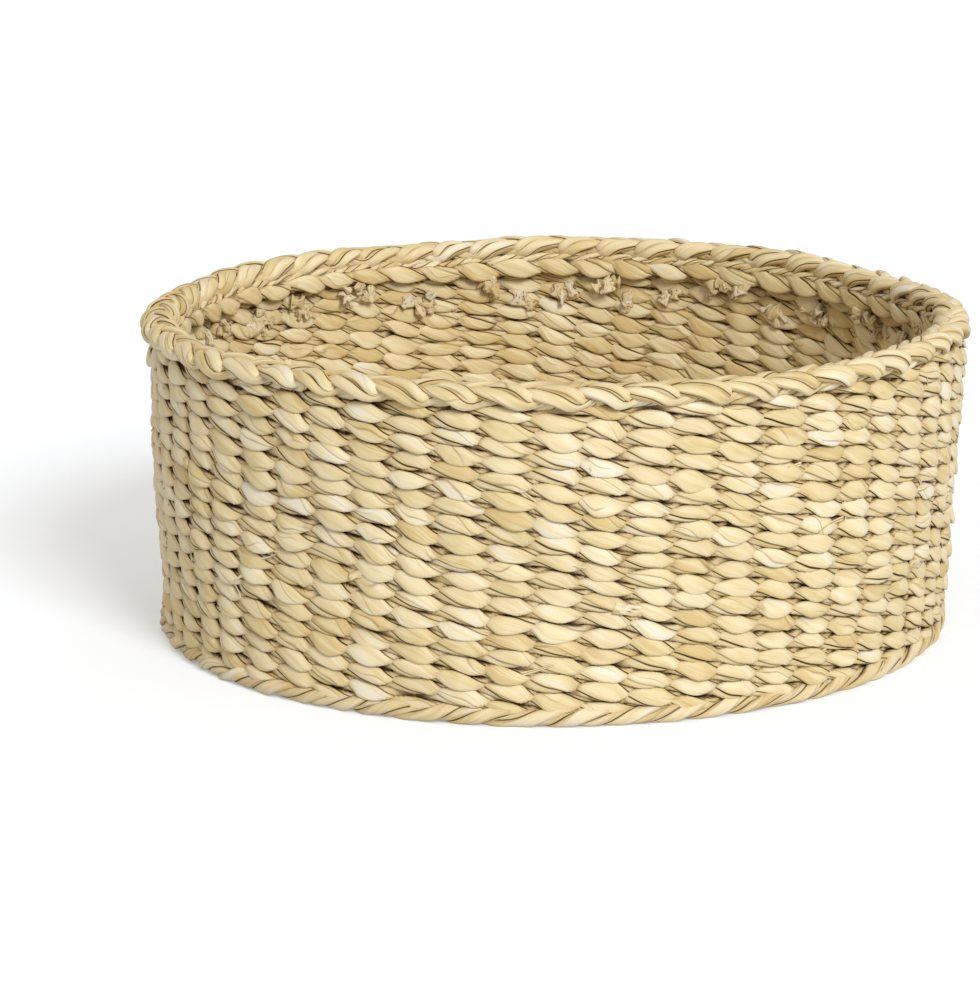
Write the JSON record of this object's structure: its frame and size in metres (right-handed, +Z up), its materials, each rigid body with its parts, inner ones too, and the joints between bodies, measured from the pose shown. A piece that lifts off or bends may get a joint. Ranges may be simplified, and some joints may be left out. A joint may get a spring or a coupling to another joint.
{
  "type": "round woven basket",
  "caption": "Low round open-topped basket, plain woven from flattened leaf strands over upright stakes, with a rolled rim, a flat base and a braided foot.",
  "frame": {"origin": "centre of the basket's foot, on the surface that it stands on", "axes": "+Z up through the open mouth; the picture is taken from the -Y side, with +X to its right"},
  "size_m": [0.4, 0.4, 0.158],
  "materials": {
    "weave": "dry straw-coloured leaf, matt with a faint sheen",
    "borders": "twisted dry leaf, matt",
    "stakes": "dry fibrous leaf, matt",
    "base_weave": "dry straw-coloured leaf, matt"
  },
  "bodies": {
    "root": {"stakes": "stakes", "side_round_01": "weave", "side_round_02": "weave", "side_round_03": "weave", "side_round_04": "weave", "side_round_05": "weave", "side_round_06": "weave", "side_round_07": "weave", "side_round_08": "weave", "side_round_09": "weave", "side_round_10": "weave", "side_round_11": "weave", "side_round_12": "weave", "side_round_13": "weave", "side_round_14": "weave", "side_round_15": "weave", "side_round_16": "weave", "side_round_17": "weave", "side_round_18": "weave", "side_round_19": "weave", "side_round_20": "weave", "side_round_21": "weave", "side_round_22": "weave", "side_round_23": "weave", "side_round_24": "weave", "side_round_25": "weave", "side_round_26": "weave", "side_round_27": "weave", "side_round_28": "weave", "side_round_29": "weave", "side_round_30": "weave", "side_round_31": "weave", "side_round_32": "weave", "side_round_33": "weave", "base_round_01": "base_weave", "base_round_02": "base_weave", "base_round_03": "base_weave", "base_round_04": "base_weave", "base_round_05": "base_weave", "base_round_06": "base_weave", "base_round_07": "base_weave", "base_round_08": "base_weave", "base_round_09": "base_weave", "base_round_10": "base_weave", "base_round_11": "base_weave", "foot_border": "borders", "rim_border": "borders", "inner_row": "borders"}
  },
  "joints": []
}
